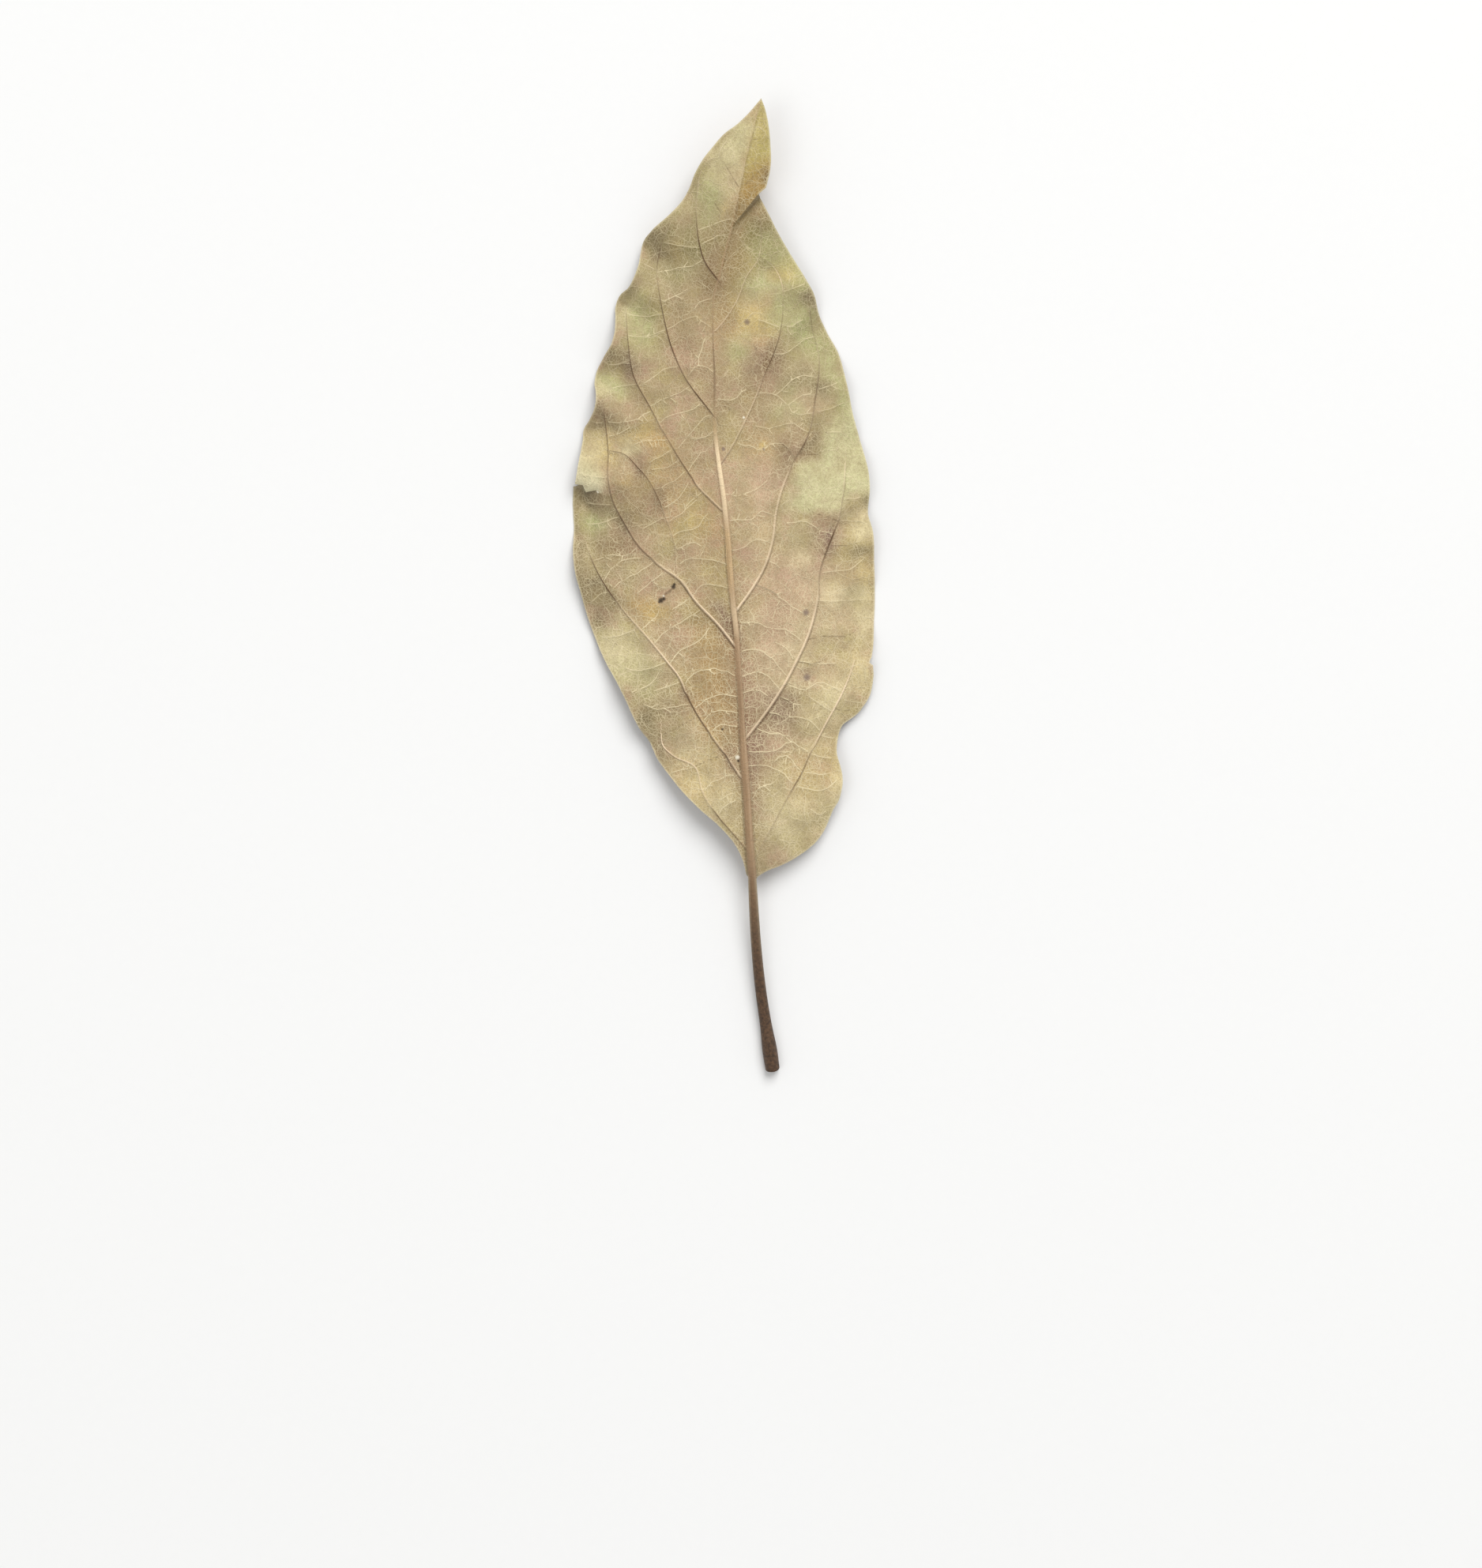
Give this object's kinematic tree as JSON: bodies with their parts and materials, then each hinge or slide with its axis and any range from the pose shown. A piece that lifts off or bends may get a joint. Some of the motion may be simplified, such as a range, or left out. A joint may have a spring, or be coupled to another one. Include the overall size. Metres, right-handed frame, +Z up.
{
  "type": "dried avocado leaf",
  "caption": "Single dried avocado leaf with waved margins, raised veins and its stalk, lying flat with the veined side up.",
  "frame": {"origin": "middle of the leaf's box, on the surface that it lies on", "axes": "+Y from the stalk to the tip, +X to the right of the midrib, +Z up from the surface"},
  "size_m": [0.0536, 0.171, 0.0086],
  "materials": {
    "dry_leaf": "dry matt leaf skin, tan to olive, with paler veins and a darker brown stalk"
  },
  "bodies": {
    "root": {"leaf": "dry_leaf"}
  },
  "joints": []
}
